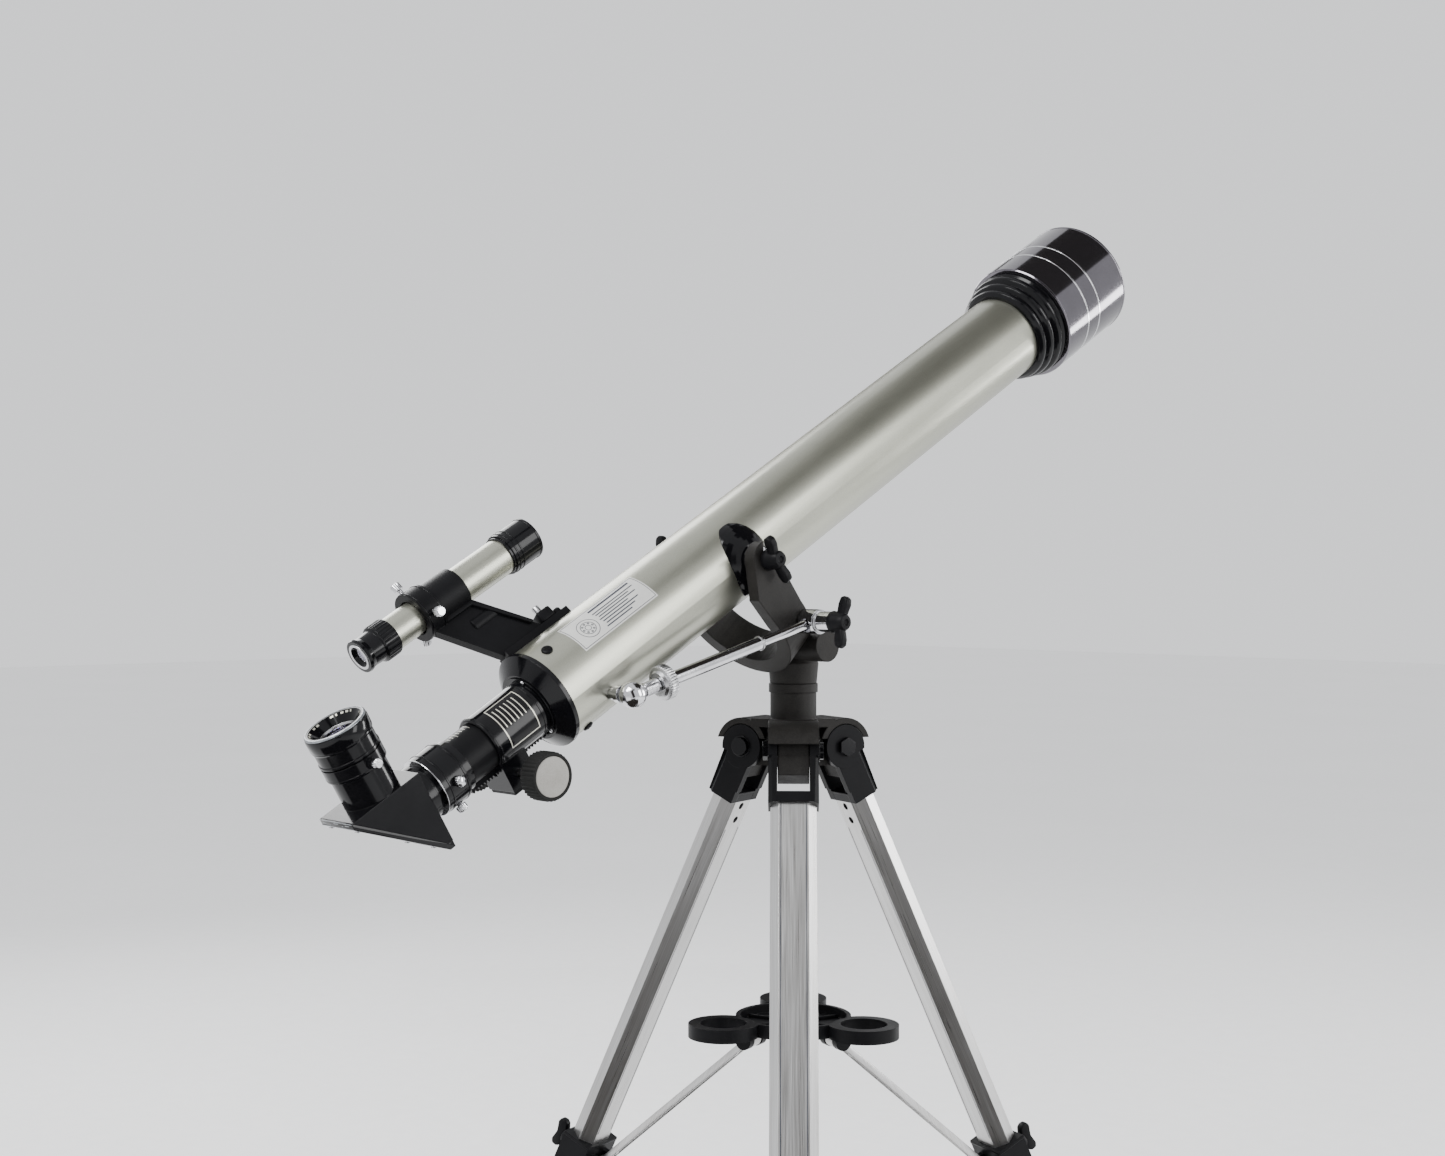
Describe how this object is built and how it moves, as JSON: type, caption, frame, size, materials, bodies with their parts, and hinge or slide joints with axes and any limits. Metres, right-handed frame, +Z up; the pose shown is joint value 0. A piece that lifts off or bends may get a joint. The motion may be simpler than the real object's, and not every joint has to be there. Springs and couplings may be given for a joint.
{
  "type": "telescope on tripod",
  "caption": "Small refracting telescope with finder, star diagonal and slow-motion rod in a forked alt-azimuth mount on a folding tripod with tray.",
  "frame": {"origin": "centre of the bounding box in plan, on the floor that the feet stand on", "axes": "+Z up; +Y along the tube's heading in plan, towards the objective; +X to the observer's right"},
  "size_m": [0.5529, 0.717, 0.9722],
  "materials": {
    "cast_metal": "fine-grained dark grey casting, satin",
    "black_plastic": "moulded, fine texture",
    "gloss_black": "polished",
    "leg_alloy": "clear anodised, drawn along its length",
    "bright_metal": "polished",
    "tube_paint": "champagne metallic lacquer, satin",
    "shield_finish": "black chrome, glossy",
    "rubber": "matte",
    "flat_black": "flat anti-reflection",
    "lens_glass": "coated",
    "mirror_face": "front silvered",
    "steel": "turned"
  },
  "bodies": {
    "stand": {"tripod_head": "cast_metal", "leg_bolts": "bright_metal"},
    "azimuth_knob": {"azimuth_lock": "black_plastic"},
    "yoke": {"yoke": "cast_metal", "altitude_bolts": "bright_metal"},
    "tube": {"main_tube": "tube_paint", "tube_baffles": "flat_black", "objective_cell": "gloss_black", "crown_lens": "lens_glass", "flint_lens": "lens_glass", "dew_shield": "shield_finish", "rear_cap": "gloss_black", "focuser_body": "gloss_black", "pinion_cover": "black_plastic", "tube_screws": "bright_metal", "tube_saddles": "gloss_black", "rod_stud": "bright_metal", "finder_tube": "tube_paint", "finder_cell": "black_plastic", "finder_lens": "lens_glass", "finder_bracket": "black_plastic"},
    "right_wing": {"altitude_wing_right": "black_plastic"},
    "left_wing": {"altitude_wing_left": "black_plastic"},
    "rod": {"slow_motion_rod": "bright_metal"},
    "wheel": {"fine_adjust_wheel": "bright_metal"},
    "clamp": {"clamp_head": "bright_metal"},
    "clamp_knob": {"clamp_shank": "bright_metal", "clamp_wing": "black_plastic"},
    "draw": {"draw_tube": "black_plastic", "eyepiece_holder": "gloss_black", "holder_screws": "bright_metal"},
    "focus_drive": {"focus_pinion": "steel", "focus_knobs": "gloss_black"},
    "diagonal": {"diagonal_housing": "gloss_black", "diagonal_mirror": "mirror_face"},
    "eyepiece": {"eyepiece_body": "gloss_black", "eyepiece_lens": "lens_glass"},
    "finder_ocular": {"finder_eyepiece": "black_plastic"},
    "tray": {"accessory_tray": "black_plastic"},
    "leg_1": {"leg_fitting_1": "black_plastic", "upper_leg_1": "leg_alloy", "leg_collar_1": "black_plastic"},
    "lock_1": {"leg_lock_1": "black_plastic"},
    "lower_1": {"lower_leg_1": "leg_alloy", "foot_1": "rubber"},
    "brace_1": {"brace_arm_1": "leg_alloy"},
    "leg_2": {"leg_fitting_2": "black_plastic", "upper_leg_2": "leg_alloy", "leg_collar_2": "black_plastic"},
    "lock_2": {"leg_lock_2": "black_plastic"},
    "lower_2": {"lower_leg_2": "leg_alloy", "foot_2": "rubber"},
    "brace_2": {"brace_arm_2": "leg_alloy"},
    "leg_3": {"leg_fitting_3": "black_plastic", "upper_leg_3": "leg_alloy", "leg_collar_3": "black_plastic"},
    "lock_3": {"leg_lock_3": "black_plastic"},
    "lower_3": {"lower_leg_3": "leg_alloy", "foot_3": "rubber"},
    "brace_3": {"brace_arm_3": "leg_alloy"}
  },
  "joints": [
    {"name": "azimuth", "type": "hinge", "parent": "stand", "child": "yoke", "pos_m": [0.0355, 0.0205, 0.62165], "axis": [0, 0, 1], "continuous": true},
    {"name": "azimuth_lock_turn", "type": "hinge", "parent": "stand", "child": "azimuth_knob", "pos_m": [0.01824, 0.03717, 0.60765], "axis": [-0.7193, 0.6947, 0], "range_deg": [-180, 180]},
    {"name": "altitude", "type": "hinge", "parent": "yoke", "child": "tube", "pos_m": [0.0355, -0.05, 0.70666], "axis": [1, 0, 0], "range_deg": [-12, 30]},
    {"name": "right_wing_turn", "type": "hinge", "parent": "yoke", "child": "right_wing", "pos_m": [0.0905, -0.05, 0.70666], "axis": [1, 0, 0], "range_deg": [-180, 180]},
    {"name": "left_wing_turn", "type": "hinge", "parent": "yoke", "child": "left_wing", "pos_m": [-0.0195, -0.05, 0.70666], "axis": [-1, 0, 0], "range_deg": [-180, 180]},
    {"name": "rod_swing", "type": "hinge", "parent": "tube", "child": "rod", "pos_m": [0.0855, -0.16466, 0.6231], "axis": [1, 0, 0], "range_deg": [-8, 8]},
    {"name": "fine_adjust", "type": "hinge", "parent": "rod", "child": "wheel", "pos_m": [0.0855, -0.13959, 0.63], "axis": [0, 0.9642, 0.2653], "continuous": true},
    {"name": "clamp_swivel", "type": "hinge", "parent": "yoke", "child": "clamp", "pos_m": [0.0855, -0.01, 0.66565], "axis": [1, 0, 0], "range_deg": [-12, 27]},
    {"name": "clamp_knob_turn", "type": "hinge", "parent": "clamp", "child": "clamp_knob", "pos_m": [0.1005, -0.01, 0.66565], "axis": [1, 0, 0], "range_deg": [-180, 180]},
    {"name": "focus", "type": "slide", "parent": "tube", "child": "draw", "axis": [0, -0.8616, -0.5075], "range_m": [-0.02, 0.03]},
    {"name": "focus_turn", "type": "hinge", "parent": "tube", "child": "focus_drive", "pos_m": [0.0355, -0.2217, 0.5765], "axis": [1, 0, 0], "range_deg": [-260, 380]},
    {"name": "diagonal_turn", "type": "hinge", "parent": "draw", "child": "diagonal", "pos_m": [0.0355, -0.27402, 0.57469], "axis": [0, 0.8616, 0.5075], "continuous": true},
    {"name": "eyepiece_draw", "type": "slide", "parent": "diagonal", "child": "eyepiece", "axis": [0, -0.5075, 0.8616], "range_m": [0, 0.02]},
    {"name": "finder_focus", "type": "hinge", "parent": "tube", "child": "finder_ocular", "pos_m": [-0.01555, -0.28087, 0.65528], "axis": [0, 0.8616, 0.5075], "range_deg": [-180, 180]},
    {"name": "leg_1_fold", "type": "hinge", "parent": "stand", "child": "leg_1", "pos_m": [0.05852, -0.00173, 0.57766], "axis": [0.6947, 0.7193, 0], "range_deg": [0, 17]},
    {"name": "lock_1_turn", "type": "hinge", "parent": "leg_1", "child": "lock_1", "pos_m": [0.1742, -0.11344, 0.27766], "axis": [0.6493, -0.627, 0.4305], "range_deg": [-180, 180]},
    {"name": "leg_1_extend", "type": "slide", "parent": "leg_1", "child": "lower_1", "axis": [0.3097, -0.2991, -0.9026], "range_m": [0, 0.22]},
    {"name": "brace_1_swing", "type": "hinge", "parent": "leg_1", "child": "brace_1", "pos_m": [0.15277, -0.09275, 0.26346], "axis": [0.6947, 0.7193, 0], "range_deg": [-1, 45]},
    {"name": "leg_2_fold", "type": "hinge", "parent": "stand", "child": "leg_2", "pos_m": [0.04324, 0.05155, 0.57766], "axis": [-0.9703, 0.2419, 0], "range_deg": [0, 17]},
    {"name": "lock_2_turn", "type": "hinge", "parent": "leg_2", "child": "lock_2", "pos_m": [0.08215, 0.20759, 0.27766], "axis": [0.2184, 0.8758, 0.4305], "range_deg": [-180, 180]},
    {"name": "leg_2_extend", "type": "slide", "parent": "leg_2", "child": "lower_2", "axis": [0.1042, 0.4177, -0.9026], "range_m": [0, 0.22]},
    {"name": "brace_2_swing", "type": "hinge", "parent": "leg_2", "child": "brace_2", "pos_m": [0.07494, 0.17869, 0.26346], "axis": [-0.9703, 0.2419, 0], "range_deg": [-1, 45]},
    {"name": "leg_3_fold", "type": "hinge", "parent": "stand", "child": "leg_3", "pos_m": [0.00474, 0.01168, 0.57766], "axis": [0.2756, -0.9613, 0], "range_deg": [0, 17]},
    {"name": "lock_3_turn", "type": "hinge", "parent": "leg_3", "child": "lock_3", "pos_m": [-0.14985, -0.03265, 0.27766], "axis": [-0.8676, -0.2488, 0.4305], "range_deg": [-180, 180]},
    {"name": "leg_3_extend", "type": "slide", "parent": "leg_3", "child": "lower_3", "axis": [-0.4138, -0.1187, -0.9026], "range_m": [0, 0.22]},
    {"name": "brace_3_swing", "type": "hinge", "parent": "leg_3", "child": "brace_3", "pos_m": [-0.12121, -0.02444, 0.26346], "axis": [0.2756, -0.9613, 0], "range_deg": [-1, 45]},
    {"name": "tray_lift", "type": "slide", "parent": "stand", "child": "tray", "axis": [0, 0, 1], "range_m": [-0.001, 0.06]}
  ],
  "couplings": [
    {"joint": "rod_swing", "follows": "altitude", "ratio": -0.134},
    {"joint": "clamp_swivel", "follows": "altitude", "ratio": 0.866},
    {"joint": "focus_turn", "follows": "focus", "rad_per_m": 208.33},
    {"joint": "brace_1_swing", "follows": "leg_1_fold", "ratio": 1.3171},
    {"joint": "leg_2_fold", "follows": "leg_1_fold", "ratio": 1},
    {"joint": "brace_2_swing", "follows": "leg_1_fold", "ratio": 1.3171},
    {"joint": "leg_3_fold", "follows": "leg_1_fold", "ratio": 1},
    {"joint": "brace_3_swing", "follows": "leg_1_fold", "ratio": 1.3171},
    {"joint": "tray_lift", "follows": "leg_1_fold", "m_per_rad": 0.11076}
  ]
}
